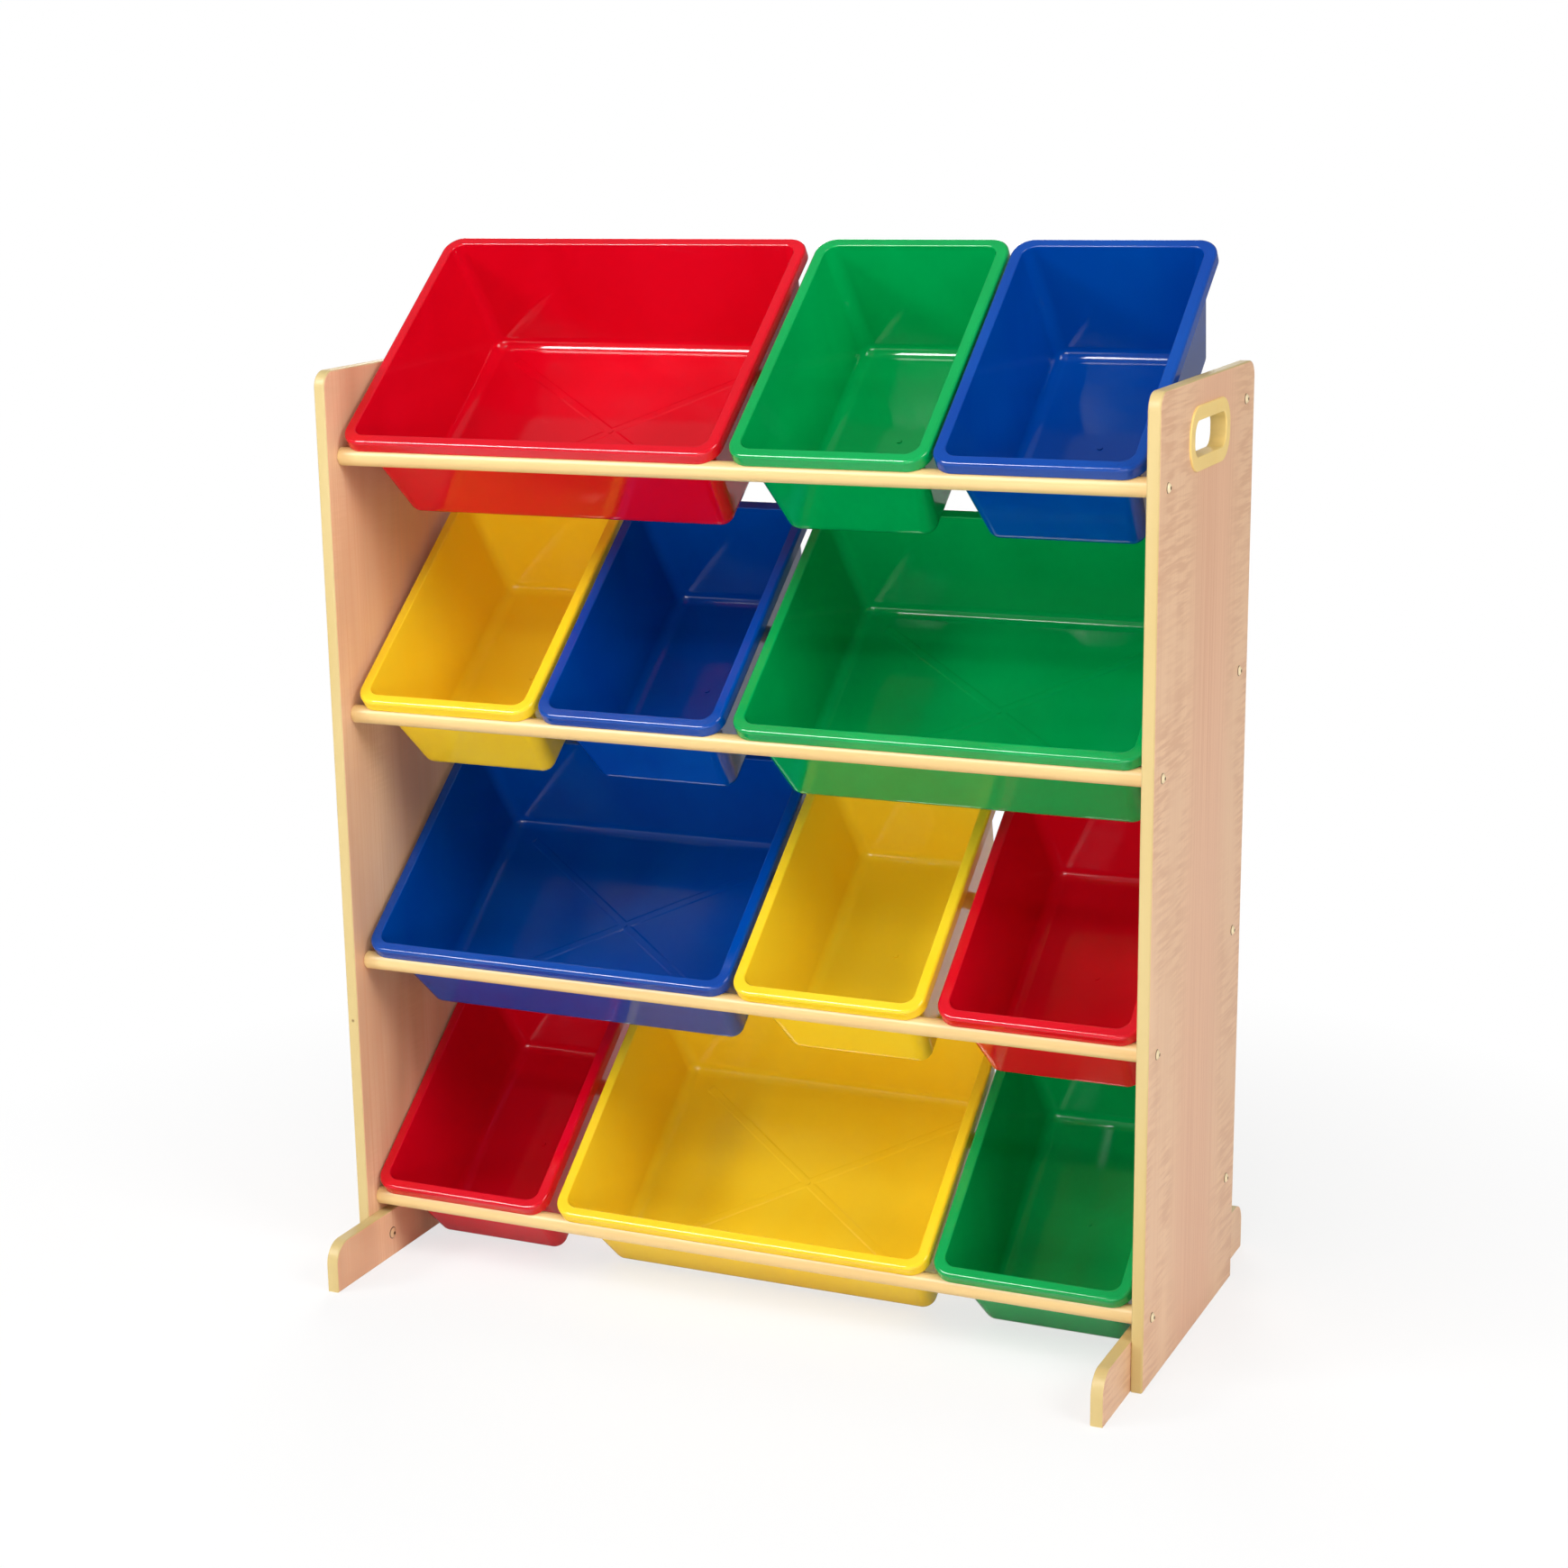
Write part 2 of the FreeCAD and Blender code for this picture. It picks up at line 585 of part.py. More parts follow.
def tub(name, tier, slot, span):
    """Moulded tub with drafted walls, a rolled rim and a down-turned skirt all round.

    Its own frame has Y along the rim from front to rear and Z out of the mouth, with
    the rim's front edge at Y = 0 and its top at Z = 0.
    """
    body = new_body(name)
    seat_tub(body, tier, slot, span)
    width = "( %d * %s - tub_gap )" % (span, SLOT_WIDTH)
    half, length, depth = amount(width) / 2, amount("tub_length"), amount("tub_depth")

    block = new_sketch(body, "XY_Plane", "wall_outline")
    plain_rectangle(block, width + " - 2 * " + WALL_INSET, WALL_INSET, "tub_length - " + WALL_INSET)
    pad(body, "block", block, "tub_depth", reverse=True)
    inset = amount(WALL_INSET)
    lean(body, "front_lean", "floor_front_inset", lambda box: box.YMax < length / 2)
    lean(body, "rear_lean", "floor_rear_inset", lambda box: box.YMin > length / 2)
    lean(body, "side_lean", "floor_side_inset", lambda box: box.XMax < 0 or box.XMin > 0)
    fillet(
        body, "corners",
        lambda edge: edge.BoundBox.ZLength > depth / 2 or in_plane(edge, "Z", -depth),
        "tub_corner",
    )
    hollow_out(body)

    rim = new_sketch(body, "XY_Plane", "rim_outline")
    rim_ring(rim, "outer", width, "0", "rim_corner")
    rim_ring(rim, "inner", width, "( rim_width - tub_wall / 2 )", "tub_corner - tub_wall / 2")
    pad(body, "rim", rim, "rim_thickness", reverse=True)
    skirt = new_sketch(body, "XY_Plane", "skirt_outline")
    rim_ring(skirt, "outer", width, "0", "rim_corner")
    rim_ring(skirt, "inner", width, "skirt_thickness", "rim_corner - skirt_thickness")
    pad(body, "skirt", skirt, "skirt_depth", reverse=True)

    def reach_in(edge):
        """How far an edge on the rim's top lies inside the rim's outline at its nearest."""
        box = edge.BoundBox
        return min(box.YMin, length - box.YMax, box.XMin + half, half - box.XMax)

    fillet(
        body, "rim_roll",
        lambda edge: in_plane(edge, "Z", 0) and reach_in(edge) < inset / 2,
        "rim_roll",
    )
    fillet(
        body, "mouth_round",
        lambda edge: in_plane(edge, "Z", 0) and reach_in(edge) > inset,
        "mouth_round",
    )
    if span > 1:
        floor_rib(body, "rib_rising", True, width)
        floor_rib(body, "rib_falling", False, width)
    gate_mark(body)
    return body


def rim_ring(sketch, name, width, inset, corner):
    """Outline parallel to the rim's own, an inset inside it."""
    rounded_rectangle(
        sketch, name, width + " - 2 * " + inset, inset, "tub_length - " + inset, corner
    )


def side_faces(body, wanted):
    """Names of the block's upright faces whose box is wanted."""
    faces = enumerate(body.Tip.Shape.Faces, 1)
    return ["Face%d" % n for n, face in faces if face.BoundBox.ZLength > 1 and wanted(face.BoundBox)]


def top_faces(body):
    """Names of the faces that lie level with the rim's top."""
    faces = enumerate(body.Tip.Shape.Faces, 1)
    return ["Face%d" % n for n, face in faces if face.BoundBox.ZMin > -1e-4]


def lean(body, name, floor_inset, wanted):
    """Draft that brings a wall in from the rim's inset to the floor's."""
    base, faces, level = body.Tip, side_faces(body, wanted), top_faces(body)
    feature = body.newObject("PartDesign::Draft", name)
    feature.Base = (base, faces)
    feature.NeutralPlane = (base, level)
    feature.Reversed = True
    bind(feature, "Angle", "atan( ( " + floor_inset + " - " + WALL_INSET + " ) / tub_depth )")
    doc.recompute()
    return feature


def hollow_out(body):
    """Opens the block's top and leaves walls of one thickness."""
    base, level = body.Tip, top_faces(body)
    feature = body.newObject("PartDesign::Thickness", "walls")
    feature.Base = (base, level)
    feature.Reversed = True
    bind(feature, "Value", "tub_wall")
    doc.recompute()
    return feature


def floor_rib(body, name, rising, width):
    """One bar of the low cross on a wide tub's floor, corner to corner, with sloping sides."""
    across = "( " + width + " - 2 * floor_side_inset - 2 * tub_corner )"
    along = "( tub_length - floor_front_inset - floor_rear_inset - 2 * tub_corner )"
    half_length = "rib_share * sqrt(" + across + " ^ 2 + " + along + " ^ 2 ) / 2"
    slope = "atan(" + along + " / " + across + " )"
    angle = "( " + slope + " )" if rising else "( 180 deg - " + slope + " )"
    turn = FreeCAD.Rotation(FreeCAD.Vector(0, 1, 0), amount(angle))
    rib = on_floor(body, "PartDesign::AdditiveWedge", name, "XZ_Plane")
    rib.AttachmentOffset = FreeCAD.Placement(FreeCAD.Vector(0, 0, 0), turn)
    bind(rib, "AttachmentOffset.Rotation.Angle", angle)
    bind(rib, "AttachmentOffset.Base.y", "tub_wall / 2 - tub_depth")
    bind(rib, "AttachmentOffset.Base.z", "- " + FLOOR_MIDDLE)
    spread = "tub_wall / 2 * rib_slope / rib_height"
    reaches = {
        "X": half_length + " + " + spread, "X2": half_length + " - rib_slope",
        "Z": "rib_width / 2 + " + spread, "Z2": "rib_width / 2 - rib_slope",
    }
    for axis, reach in reaches.items():
        bind(rib, axis + "min", "- ( " + reach + " )")
        bind(rib, axis + "max", reach)
    rib.Ymin = 0
    bind(rib, "Ymax", "rib_height + tub_wall / 2")
    doc.recompute()


def gate_mark(body):
    """Small round stub in the middle of the floor, where the plastic flowed in."""
    stub = on_floor(body, "PartDesign::AdditiveCylinder", "gate_stub", "XY_Plane")
    bind(stub, "Radius", "gate_width / 2")
    bind(stub, "Height", "gate_height + tub_wall / 2")
    bind(stub, "AttachmentOffset.Base.y", FLOOR_MIDDLE)
    bind(stub, "AttachmentOffset.Base.z", "tub_wall / 2 - tub_depth")
    doc.recompute()


def on_floor(body, kind, name, role):
    """New primitive of a tub, placed from one of the body's own planes."""
    feature = body.newObject(kind, name)
    plane = next(item for item in body.Origin.OriginFeatures if item.Role == role)
    feature.AttachmentSupport = [(plane, "")]
    feature.MapMode = "FlatFace"
    return feature


def seat_tub(body, tier, slot, span):
    """Hangs a tub on its front and rear rods, in the middle of its slots but for its shift."""
    body.Placement = FreeCAD.Placement(
        FreeCAD.Vector(0, 0, 0), FreeCAD.Rotation(FreeCAD.Vector(1, 0, 0), 30)
    )
    bind(body, "Placement.Rotation.Angle", TILT)
    middle = "( %s ) * %s" % (slot + span / 2 - SLOTS / 2, SLOT_WIDTH)
    bind(body, "Placement.Base.x", middle + " + " + body.Label + "_shift")
    bind(
        body, "Placement.Base.y",
        "%s - %s * %s - %s * %s" % (FRONT_ROD_Y, ROD_AHEAD, COS_TILT, ROD_DROP, SIN_TILT),
    )
    bind(
        body, "Placement.Base.z",
        tier_level(tier) + " - %s * %s + %s * %s" % (ROD_AHEAD, SIN_TILT, ROD_DROP, COS_TILT),
    )


# ---- assembly -------------------------------------------------------------------------

pieces = []
rod_places = []
for tier in range(TIERS):
    level = tier_level(tier)
    pieces.append(rod("front_rod_%d" % (tier + 1), tier, FRONT_ROD_Y, "0"))
    pieces.append(rod("rear_rod_%d" % (tier + 1), tier, REAR_ROD_Y, "rod_rise"))
    rod_places += [(FRONT_ROD_Y, level), (REAR_ROD_Y, level + " + rod_rise")]

rod_screw = screw(
    "rod_screw", "rod_screw_head", "rod_screw_dome", "rod_screw_shank",
    "board_thickness", "rod_screw_reach",
)
foot_screw = screw(
    "foot_screw", "foot_screw_head", "foot_screw_dome", "foot_screw_shank",
    "foot_thickness", "foot_screw_reach",
)
for side, sign in SIDES.items():
    pieces.append(side_board(side, sign))
    pieces.append(foot(side, sign))
    pieces.append(grommet(side, sign))
    outer_face = "overall_width / 2"
    foot_face = "overall_width / 2 - board_thickness - foot_thickness"
    inward, outward = (180, 0) if sign > 0 else (0, 180)
    pieces.append(screw_group(side + "_rod_screws", rod_screw, sign, outer_face, inward, rod_places))
    pieces.append(screw_group(
        side + "_foot_screws", foot_screw, sign, foot_face, outward, foot_screw_places()
    ))

for name, tier, slot, span, shift in TUBS:
    pieces.append(tub(name, tier, slot, span))

doc.recompute()
for item in doc.Objects:
    if "Invalid" in item.State or "Error" in item.State:
        raise RuntimeError(item.Label + " failed: " + str(item.State))
for piece in pieces:
    if piece.Shape.isNull() or not piece.Shape.isValid():
        raise RuntimeError(piece.Label + " has no valid shape")

os.makedirs("parts", exist_ok=True)
for piece in pieces:
    piece.Shape.exportStep("parts/" + piece.Label + ".step")
print("tilt %.3f degrees, %d sub-parts" % (amount(TILT), len(pieces)))
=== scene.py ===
import bpy
import bmesh
import math
from mathutils import Matrix, Vector

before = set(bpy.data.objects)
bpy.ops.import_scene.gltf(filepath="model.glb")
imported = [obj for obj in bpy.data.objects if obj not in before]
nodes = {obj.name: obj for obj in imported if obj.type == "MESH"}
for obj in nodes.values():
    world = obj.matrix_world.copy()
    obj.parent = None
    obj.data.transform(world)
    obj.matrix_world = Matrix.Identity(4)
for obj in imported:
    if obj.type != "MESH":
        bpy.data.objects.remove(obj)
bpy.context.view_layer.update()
print("frame loaded:", len(nodes), "nodes")


# small helpers for colours and shader nodes

def linear(red, green, blue):
    # 0-255 screen colour to the linear values a socket takes
    parts = [c / 255 for c in (red, green, blue)]
    return tuple(c / 12.92 if c <= 0.04045 else ((c + 0.055) / 1.055) ** 2.4 for c in parts) + (1,)


def feed(tree, socket, value):
    # a link where the value comes out of another node, else the socket's own value
    if isinstance(value, bpy.types.NodeSocket):
        tree.links.new(value, socket)
    else:
        socket.default_value = value


def put(tree, kind, inputs=None, **settings):
    # one shader node, its settings, and what goes into each input
    node = tree.nodes.new(kind)
    for name, value in settings.items():
        setattr(node, name, value)
    for name, value in (inputs or {}).items():
        feed(tree, node.inputs[name], value)
    return node


def objectPlace(tree):
    return put(tree, "ShaderNodeTexCoord").outputs["Object"]


def axesOf(tree, vector):
    return put(tree, "ShaderNodeSeparateXYZ", {"Vector": vector}).outputs


def maths(tree, operation, first, second=None):
    given = {0: first} if second is None else {0: first, 1: second}
    return put(tree, "ShaderNodeMath", given, operation=operation).outputs[0]


def times(tree, first, second):
    return maths(tree, "MULTIPLY", first, second)


def rangeOf(tree, value, span, toSpan=(0.0, 1.0)):
    # span is stretched onto toSpan, and what lies past its ends stays at them
    return put(tree, "ShaderNodeMapRange", {
        "Value": value, "From Min": span[0], "From Max": span[1],
        "To Min": toSpan[0], "To Max": toSpan[1],
    }).outputs["Result"]


def blendOf(tree, share, first, second):
    # a colour mix's inputs are found by number: 0 is the share, 6 and 7 are the two colours
    mix = put(tree, "ShaderNodeMix", {0: share, 6: first, 7: second}, data_type="RGBA")
    return mix.outputs[2]


def spotsOf(tree, vector, marks):
    # noise drawn out along an axis: perMetre counts its spots on X, Y and Z
    mapped = put(tree, "ShaderNodeMapping", {
        "Vector": vector, "Scale": marks["perMetre"], "Rotation": marks.get("turn", (0, 0, 0)),
    })
    return put(tree, "ShaderNodeTexNoise", {
        "Vector": mapped.outputs["Vector"], "Scale": 1.0, "Detail": marks["detail"],
        "Distortion": marks.get("distortion", 0.0),
    }).outputs["Fac"]


def marksOf(tree, vector, marks):
    return rangeOf(tree, spotsOf(tree, vector, marks), marks["shows"])


def giveRelief(tree, shader, height, relief):
    # the faint unevenness that catches the light: relief holds its strength and depth
    strength, depth = relief
    bump = put(tree, "ShaderNodeBump", {"Height": height, "Strength": strength, "Distance": depth})
    tree.links.new(bump.outputs["Normal"], shader.inputs["Normal"])


def newGroup(name, inputs, outputs):
    # a shared effect with named sockets: the group, what comes in and what goes out
    group = bpy.data.node_groups.new(name, "ShaderNodeTree")
    for label, kind, value in inputs:
        socket = group.interface.new_socket(label, in_out="INPUT", socket_type="NodeSocket" + kind)
        if value is not None:
            socket.default_value = value
    for label, kind in outputs:
        group.interface.new_socket(label, in_out="OUTPUT", socket_type="NodeSocket" + kind)
    given = group.nodes.new("NodeGroupInput").outputs
    result = group.nodes.new("NodeGroupOutput").inputs
    return group, given, result


def newMaterial(name, sockets):
    material = bpy.data.materials.new(name)
    material.use_nodes = True
    shader = material.node_tree.nodes["Principled BSDF"]
    for label, value in sockets.items():
        shader.inputs[label].default_value = value
    return material, material.node_tree, shader


def endOf(name, pick):
    # where a piece ends on X: pick is min or max
    return pick(corner.co.x for corner in nodes[name].data.vertices)


def dress(material, *names):
    for name in names:
        slots = nodes[name].data.materials
        slots.clear()
        slots.append(material)


# fine grain: thin straight lines along Z with slow bands, for laminate and rods

grain = {"linesPerMetre": 420.0, "bandsPerMetre": 14.0, "alongPerMetre": 2.2, "detail": 2.0, "sway": 0.2}


def makeFineGrain(settings):
    group, given, result = newGroup(
        "fineGrain",
        [("Vector", "Vector", None),
         ("Lines per metre", "Float", settings["linesPerMetre"]),
         ("Bands per metre", "Float", settings["bandsPerMetre"])],
        [("Lines", "Float"), ("Bands", "Float")],
    )
    place = axesOf(group, given["Vector"])
    lengthwise = times(group, place["Z"], settings["alongPerMetre"])

    def across(rate):
        stretched = put(group, "ShaderNodeCombineXYZ", {
            "X": times(group, place["X"], rate), "Y": times(group, place["Y"], rate), "Z": lengthwise,
        })
        return put(group, "ShaderNodeTexNoise", {
            "Vector": stretched.outputs["Vector"], "Scale": 1.0,
            "Detail": settings["detail"], "Distortion": settings["sway"],
        }).outputs["Fac"]

    group.links.new(across(given["Lines per metre"]), result["Lines"])
    group.links.new(across(given["Bands per metre"]), result["Bands"])
    return group


# moulded skin: slight flow marks, rubbed patches and faint waviness, for tubs, grommets and screws

moulding = {
    "flow": {"perMetre": (9, 9, 5), "detail": 3.0, "distortion": 0.6, "shows": (0.35, 0.7)},
    "patches": {"perMetre": (28, 28, 28), "detail": 4.0, "shows": (0.4, 0.7)},
    "waves": {"perMetre": (120, 120, 120), "detail": 1.0},
    "base": (0.5, 0.5, 0.5, 1), "deep": (0.4, 0.4, 0.4, 1), "roughness": 0.2, "rubbed": 0.08,
}


def makeMouldedSkin(settings):
    group, given, result = newGroup(
        "mouldedSkin",
        [("Vector", "Vector", None),
         ("Base", "Color", settings["base"]), ("Deep", "Color", settings["deep"]),
         ("Roughness", "Float", settings["roughness"]), ("Rubbed", "Float", settings["rubbed"])],
        [("Color", "Color"), ("Roughness", "Float"), ("Height", "Float")],
    )
    flow = marksOf(group, given["Vector"], settings["flow"])
    group.links.new(blendOf(group, flow, given["Base"], given["Deep"]), result["Color"])
    rubbed = times(group, marksOf(group, given["Vector"], settings["patches"]), given["Rubbed"])
    group.links.new(maths(group, "ADD", given["Roughness"], rubbed), result["Roughness"])
    group.links.new(spotsOf(group, given["Vector"], settings["waves"]), result["Height"])
    return group


fineGrain = makeFineGrain(grain)
mouldedSkin = makeMouldedSkin(moulding)
print("shared effects ready")


def placeSkin(tree, shader, base, deep, finish):
    # the moulded skin with a piece's own colours and finish: it sets the roughness, the rest is given back
    skin = put(tree, "ShaderNodeGroup", {
        "Vector": objectPlace(tree), "Base": base, "Deep": deep,
        "Roughness": finish["roughness"], "Rubbed": finish["rubbed"],
    }, node_tree=mouldedSkin).outputs
    tree.links.new(skin["Roughness"], shader.inputs["Roughness"])
    return skin


# side boards and feet: printed maple laminate with lacquered edges

board = {
    "roughness": 0.4, "gloss": 0.3, "relief": (0.06, 0.0004),
    # the print, and painted shade on the inner faces: the share pair is how much of the redder tone the
    # outer face takes as print and the inner face as painted shade
    "pale": linear(242, 200, 161), "pink": linear(238, 189, 153), "inner": linear(209, 157, 123),
    "innerBands": (0.3, 0.6), "innerShadeShare": (0.18, 0.95), "turnsInward": (0.01, -0.01),
    "heartY": 0.015, "heartFade": (0.0825, 0.033), "heartSway": (-0.03, 0.03),
    "swayMarks": {"perMetre": (3, 3, 1.2), "detail": 1.0},
    # beside the heart the ripples are strong and the lines weak; in it, and inside, the other way round
    "line": linear(220, 160, 123), "lineShows": (0.46, 0.7), "lineStrength": (0.22, 0.62),
    "ripple": linear(222, 172, 135), "rippleStrength": (0.8, 0.0), "innerPlainness": 0.7,
    "rippleMarks": {
        "perMetre": (20, 24, 270), "turn": (0.3, 0, 0), "detail": 1.0, "distortion": 0.15,
        "shows": (0.4, 0.6),
    },
    "patchMarks": {"perMetre": (14, 14, 7), "detail": 1.0, "shows": (0.36, 0.56)},
    # the edges, and how far the face has to turn for the printed sheet to end
    "edge": linear(207, 185, 129), "edgeDeep": linear(199, 172, 110), "edgeBands": (0.35, 0.7),
    "sheetEnds": (0.80, 0.90),
    # a small dent on the left board's front edge
    "dentAt": (-0.413, -0.149, 0.262), "dentFade": (0.0024, 0.00096), "dentTone": linear(128, 96, 58),
}


def printedFace(tree, place, turned, lines, bands, settings):
    # the outer face has a pink heart between rippled pale sides, the inner one is plainer and redder with
    # painted shade
    spot = axesOf(tree, place)
    # an outer face turns away from the middle, an inner one towards it
    inside = rangeOf(tree, times(tree, turned, spot["X"]), settings["turnsInward"])
    sway = rangeOf(tree, spotsOf(tree, place, settings["swayMarks"]), (0, 1), settings["heartSway"])
    fromHeart = maths(tree, "ADD", maths(tree, "SUBTRACT", spot["Y"], settings["heartY"]), sway)
    heart = rangeOf(tree, maths(tree, "ABSOLUTE", fromHeart), settings["heartFade"])
    face = blendOf(tree, heart, settings["pale"], settings["pink"])
    # painted shade: the redder tone follows the grain bands, strongly on the inner faces as painted shade,
    # weakly on the outer ones as print
    redBands = rangeOf(tree, bands, settings["innerBands"])
    redder = times(tree, redBands, rangeOf(tree, inside, (0, 1), settings["innerShadeShare"]))
    face = blendOf(tree, redder, face, settings["inner"])
    plain = maths(tree, "MAXIMUM", heart, times(tree, inside, settings["innerPlainness"]))
    lineStrength = rangeOf(tree, plain, (0, 1), settings["lineStrength"])
    lineHere = times(tree, rangeOf(tree, lines, settings["lineShows"]), lineStrength)
    face = blendOf(tree, lineHere, face, settings["line"])
    patches = marksOf(tree, place, settings["patchMarks"])
    rippled = times(tree, marksOf(tree, place, settings["rippleMarks"]), patches)
    rippleHere = times(tree, rippled, rangeOf(tree, plain, (0, 1), settings["rippleStrength"]))
    return blendOf(tree, rippleHere, face, settings["ripple"])


def laminate(name, settings):
    material, tree, shader = newMaterial(name, {
        "Roughness": settings["roughness"], "Specular IOR Level": settings["gloss"],
    })
    place = objectPlace(tree)
    turned = axesOf(tree, put(tree, "ShaderNodeNewGeometry").outputs["Normal"])["X"]
    figure = put(tree, "ShaderNodeGroup", {"Vector": place}, node_tree=fineGrain).outputs
    face = printedFace(tree, place, turned, figure["Lines"], figure["Bands"], settings)
    edgeBands = rangeOf(tree, figure["Bands"], settings["edgeBands"])
    edge = blendOf(tree, edgeBands, settings["edge"], settings["edgeDeep"])
    onFace = rangeOf(tree, maths(tree, "ABSOLUTE", turned), settings["sheetEnds"])
    fromDent = put(tree, "ShaderNodeVectorMath", {0: place, 1: settings["dentAt"]}, operation="DISTANCE")
    dented = rangeOf(tree, fromDent.outputs["Value"], settings["dentFade"])
    skin = blendOf(tree, dented, blendOf(tree, onFace, edge, face), settings["dentTone"])
    tree.links.new(skin, shader.inputs["Base Color"])
    giveRelief(tree, shader, figure["Lines"], settings["relief"])
    return material


dress(laminate("boardLaminate", board), "left_side_board", "right_side_board", "left_foot", "right_foot")
print("boards and feet dressed")


# rods: pale hardwood under yellow lacquer, grain along X

rod = {
    "base": linear(230, 198, 137), "dark": linear(215, 175, 112), "roughness": 0.34, "gloss": 0.3,
    "linesPerMetre": 520.0, "bandsPerMetre": 60.0, "turn": (0, math.pi / 2, 0),
    "bandShows": (0.4, 0.7), "bandShare": (0, 0.6), "lineShows": (0.55, 0.75), "lineShare": (0, 0.3),
    "relief": (0.08, 0.0004),
}


def lacqueredRod(settings):
    material, tree, shader = newMaterial("lacqueredRod", {
        "Roughness": settings["roughness"], "Specular IOR Level": settings["gloss"],
    })
    lengthwise = put(tree, "ShaderNodeMapping", {"Vector": objectPlace(tree), "Rotation": settings["turn"]})
    figure = put(tree, "ShaderNodeGroup", {
        "Vector": lengthwise.outputs["Vector"], "Lines per metre": settings["linesPerMetre"],
        "Bands per metre": settings["bandsPerMetre"],
    }, node_tree=fineGrain).outputs
    bands = rangeOf(tree, figure["Bands"], settings["bandShows"], settings["bandShare"])
    lines = rangeOf(tree, figure["Lines"], settings["lineShows"], settings["lineShare"])
    tone = blendOf(tree, bands, settings["base"], settings["dark"])
    tree.links.new(blendOf(tree, lines, tone, settings["dark"]), shader.inputs["Base Color"])
    giveRelief(tree, shader, figure["Lines"], settings["relief"])
    return material


tiers = (1, 2, 3, 4)
dress(lacqueredRod(rod), *["%s_rod_%d" % (row, tier) for row in ("front", "rear") for tier in tiers])
print("rods dressed")


# tubs: glossy moulded plastic that lets a little of what is behind show through

tubs = {
    "red": {"base": linear(228, 6, 34), "deep": linear(220, 2, 28), "seeThrough": 0.22},
    "green": {"base": linear(0, 175, 88), "deep": linear(0, 165, 80), "seeThrough": 0.22},
    "blue": {"base": linear(0, 75, 169), "deep": linear(0, 65, 160), "seeThrough": 0.16},
    "yellow": {"base": linear(255, 218, 46), "deep": linear(255, 212, 34), "seeThrough": 0.12},
}
tubFinish = {"roughness": 0.08, "rubbed": 0.05, "gloss": 0.4, "bending": 1.49, "relief": (0.02, 0.0006)}


def tubPlastic(name, settings, finish):
    material, tree, shader = newMaterial(name, {
        "IOR": finish["bending"], "Transmission Weight": settings["seeThrough"],
        "Specular IOR Level": finish["gloss"],
    })
    skin = placeSkin(tree, shader, settings["base"], settings["deep"], finish)
    tree.links.new(skin["Color"], shader.inputs["Base Color"])
    giveRelief(tree, shader, skin["Height"], finish["relief"])
    return material


for colour, settings in tubs.items():
    plastic = tubPlastic(colour + "TubPlastic", settings, tubFinish)
    dress(plastic, *[name for name in nodes if name.endswith("bin") and colour in name])
print("tubs dressed")


# hand-hole grommets: the same kind of moulding, duller and in the lacquer's colour

grommet = {
    "base": linear(250, 216, 132), "deep": linear(244, 204, 114), "roughness": 0.34, "rubbed": 0.1,
    "bending": 1.49, "relief": (0.08, 0.0004),
}


def grommetPlastic(settings):
    material, tree, shader = newMaterial("grommetPlastic", {"IOR": settings["bending"]})
    skin = placeSkin(tree, shader, settings["base"], settings["deep"], settings)
    tree.links.new(skin["Color"], shader.inputs["Base Color"])
    giveRelief(tree, shader, skin["Height"], settings["relief"])
    return material


dress(grommetPlastic(grommet), "left_hand_grommet", "right_hand_grommet")
print("grommets dressed")


# screws: seat is how far from the middle the face lies that their heads sit on

# each kind's dark colour is its painted contact shadow at the seat and the painted shade in its socket
screws = {
    "rod": {
        "paint": linear(246, 226, 184), "seatShade": linear(96, 64, 40),
        "seat": endOf("right_side_board", max),
    },
    "foot": {
        "paint": linear(222, 184, 140), "seatShade": linear(84, 52, 34),
        "seat": endOf("right_foot", min),
    },
}
screwFinish = {
    # the fades and depths say where the painted contact shadow and the painted socket shade reach
    "roughness": 0.4, "rubbed": 0.15, "metal": 0.1, "worn": 0.86, "seatShadeFade": (0.0009, 0.0003),
    "socketWall": (0.3, 0.1), "socketFloor": (0.995, 0.999), "socketDeep": (0.0022, 0.002),
}


def paintedScrew(name, settings, finish):
    # painted shade in the socket and a painted contact shadow where the head meets its seat
    material, tree, shader = newMaterial(name, {"Metallic": finish["metal"]})
    worn = [part * finish["worn"] for part in settings["paint"][:3]] + [1]
    skin = placeSkin(tree, shader, settings["paint"], worn, finish)
    fromMiddle = maths(tree, "ABSOLUTE", axesOf(tree, objectPlace(tree))["X"])
    height = maths(tree, "ABSOLUTE", maths(tree, "SUBTRACT", fromMiddle, settings["seat"]))
    turned = axesOf(tree, put(tree, "ShaderNodeNewGeometry").outputs["True Normal"])["X"]
    flatness = maths(tree, "ABSOLUTE", turned)
    flat = rangeOf(tree, flatness, finish["socketFloor"])
    floor = times(tree, flat, rangeOf(tree, height, finish["socketDeep"]))
    socket = maths(tree, "MAXIMUM", rangeOf(tree, flatness, finish["socketWall"]), floor)
    # painted shade: the socket and a narrow painted contact shadow next to the seat take the dark colour
    dark = maths(tree, "MAXIMUM", rangeOf(tree, height, finish["seatShadeFade"]), socket)
    tree.links.new(blendOf(tree, dark, skin["Color"], settings["seatShade"]), shader.inputs["Base Color"])
    return material


for kind, settings in screws.items():
    paint = paintedScrew(kind + "ScrewPaint", settings, screwFinish)
    dress(paint, *["%s_%s_screws" % (side, kind) for side in ("left", "right")])
print("screws dressed")


# floor and surroundings: white to the camera, plain light on the object

stage = {
    "floorHalf": 6.0, "floorTone": (0.92, 0.92, 0.92, 1), "shadow": 0.3, "shadowReach": (0.45, 1.1),
    "ambient": 0.18, "mirrored": 0.2, "white": (1, 1, 1, 1),
}


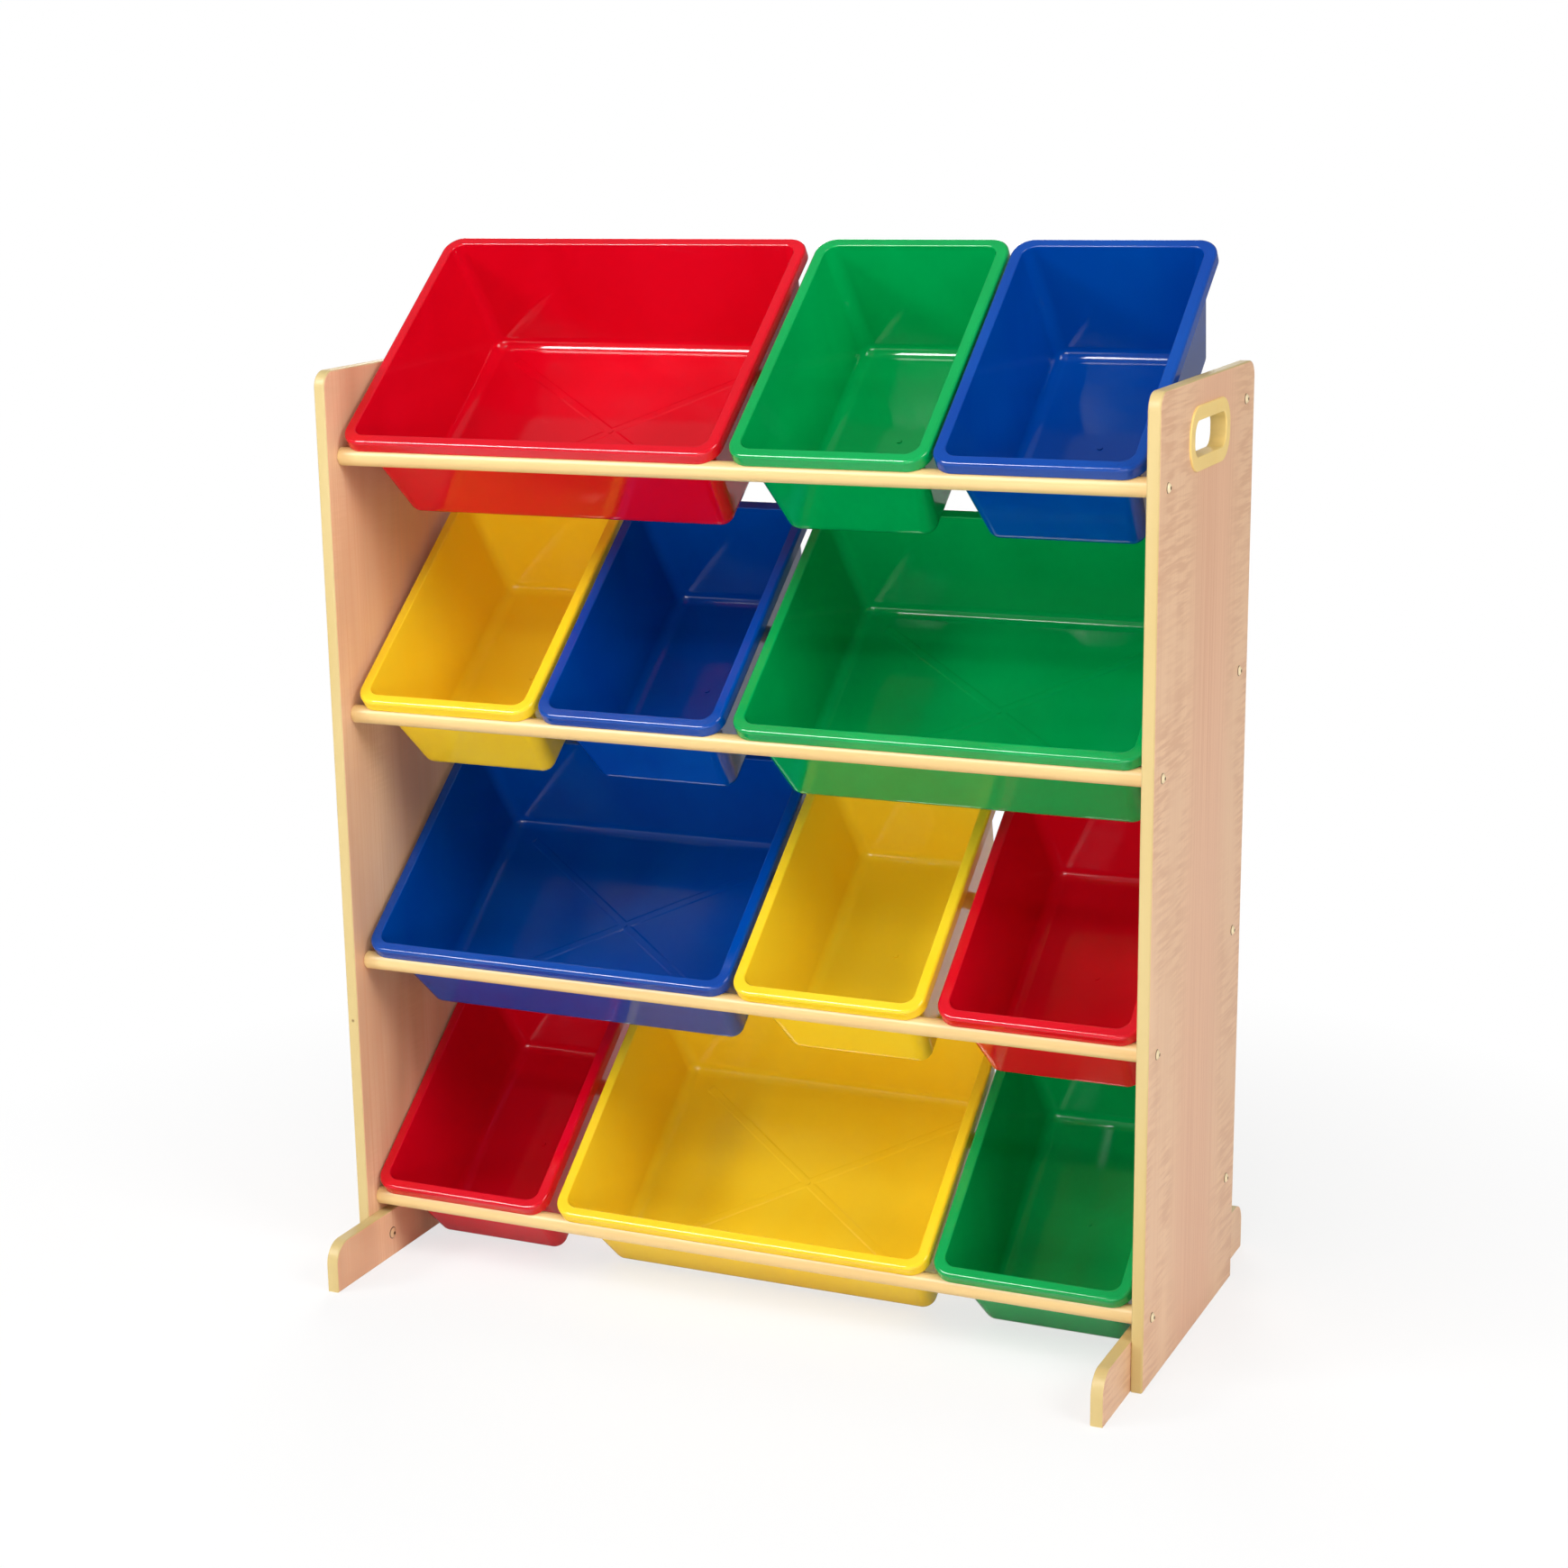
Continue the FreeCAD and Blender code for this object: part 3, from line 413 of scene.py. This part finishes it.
def whereSeen(tree, settings):
    # 1 for what the eye sees straight or through plastic, less for what gloss mirrors, 0 for light
    rays = put(tree, "ShaderNodeLightPath").outputs
    straight = maths(tree, "MAXIMUM", rays["Is Camera Ray"], rays["Is Transmission Ray"])
    return maths(tree, "MAXIMUM", straight, times(tree, rays["Is Glossy Ray"], settings["mirrored"]))


def whiteFloor(settings):
    mesh = bpy.data.meshes.new("floor")
    sheet = bmesh.new()
    bmesh.ops.create_grid(sheet, x_segments=2, y_segments=2, size=settings["floorHalf"])
    sheet.to_mesh(mesh)
    sheet.free()
    floor = bpy.data.objects.new("floor", mesh)
    bpy.context.scene.collection.objects.link(floor)
    material = bpy.data.materials.new("floorWhite")
    material.use_nodes = True
    tree = material.node_tree
    tree.nodes.clear()
    matt = put(tree, "ShaderNodeBsdfDiffuse", {"Color": settings["floorTone"]}).outputs["BSDF"]
    glow = put(tree, "ShaderNodeEmission", {"Color": settings["white"]}).outputs["Emission"]
    # the shadow fades out with the distance from the object
    away = put(tree, "ShaderNodeVectorMath", {0: objectPlace(tree)}, operation="LENGTH").outputs["Value"]
    unshaded = rangeOf(tree, away, settings["shadowReach"], (1 - settings["shadow"], 1.0))
    share = times(tree, whereSeen(tree, settings), unshaded)
    mixed = put(tree, "ShaderNodeMixShader", {0: share, 1: matt, 2: glow}).outputs["Shader"]
    put(tree, "ShaderNodeOutputMaterial", {"Surface": mixed})
    mesh.materials.append(material)


def whiteWorld(settings):
    world = bpy.data.worlds.new("studio")
    bpy.context.scene.world = world
    world.use_nodes = True
    tree = world.node_tree
    tree.nodes.clear()
    strength = rangeOf(tree, whereSeen(tree, settings), (0, 1), (settings["ambient"], 1.0))
    sky = put(tree, "ShaderNodeBackground", {"Color": settings["white"], "Strength": strength})
    put(tree, "ShaderNodeOutputWorld", {"Surface": sky.outputs["Background"]})


whiteFloor(stage)
whiteWorld(stage)
print("floor and world ready")


# lamps: three light only matt surfaces (mirrored False), and one shows only in gloss (matt False),
# so that rims and floor corners get narrow bright lines without a veil over the tubs' floors

lamps = {
    "keyPanel": {"at": (-3.0, -2.6, 2.2), "aim": 0.5, "size": (1.1, 0.9), "watts": 68, "mirrored": False},
    "highPanel": {"at": (-1.7, -2.9, 3.2), "aim": 0.6, "size": (1.1, 0.9), "watts": 24, "mirrored": False},
    "nearPanel": {"at": (0.4, -1.5, 2.5), "aim": 0.6, "size": (1.4, 0.9), "watts": 21, "mirrored": False},
    "sidePanel": {"at": (2.9, -1.2, 2.5), "aim": 0.6, "size": (1.6, 1.6), "watts": 62},
    "lowPanel": {"at": (0.5, -3.6, 0.6), "aim": 0.5, "size": (1.8, 0.7), "watts": 37},
    "backPanel": {"at": (-1.4, 3.2, 2.0), "aim": 0.5, "size": (1.6, 1.2), "watts": 55},
    "glintPanel": {"at": (-1.65, -2.8, 2.95), "aim": 0.7, "size": (1.8, 1.1), "watts": 205, "matt": False},
}


def hangLamp(name, settings):
    # each one faces the upright axis at the height called aim
    light = bpy.data.lights.new(name, "AREA")
    light.shape = "RECTANGLE"
    light.size, light.size_y = settings["size"]
    light.energy = settings["watts"]
    panel = bpy.data.objects.new(name, light)
    panel.location = settings["at"]
    towards = Vector((0, 0, settings["aim"])) - Vector(settings["at"])
    panel.rotation_euler = towards.to_track_quat("-Z", "Y").to_euler()
    panel.visible_glossy = settings.get("mirrored", True)
    panel.visible_diffuse = settings.get("matt", True)
    panel.visible_transmission = settings.get("matt", True)
    bpy.context.scene.collection.objects.link(panel)


for name, settings in lamps.items():
    hangLamp(name, settings)
print("lamps ready")


# camera, solved from the corners of the boards, rods and feet in the photograph

camera = {
    "at": (1.1431, -2.5890, 1.1824), "yaw": 25.775, "pitch": -15.188, "roll": -1.341,
    "lens": 68.25, "sensor": 36, "shift": (0.0626, 0.0607),
}


def aimCamera(settings):
    yaw, pitch, roll = (math.radians(settings[angle]) for angle in ("yaw", "pitch", "roll"))
    ahead = Vector((-math.sin(yaw) * math.cos(pitch), math.cos(yaw) * math.cos(pitch), math.sin(pitch)))
    right = Vector((math.cos(yaw), math.sin(yaw), 0))
    up = right.cross(ahead)
    rolledRight = math.cos(roll) * right + math.sin(roll) * up
    rolledUp = -math.sin(roll) * right + math.cos(roll) * up
    lens = bpy.data.cameras.new("camera")
    lens.lens = settings["lens"]
    lens.sensor_width = settings["sensor"]
    lens.shift_x, lens.shift_y = settings["shift"]
    viewer = bpy.data.objects.new("camera", lens)
    turn = Matrix((rolledRight, rolledUp, -ahead)).transposed()
    viewer.matrix_world = Matrix.Translation(settings["at"]) @ turn.to_4x4()
    bpy.context.scene.collection.objects.link(viewer)
    bpy.context.scene.camera = viewer


aimCamera(camera)
bpy.context.scene.view_settings.view_transform = "Standard"
print("camera ready")
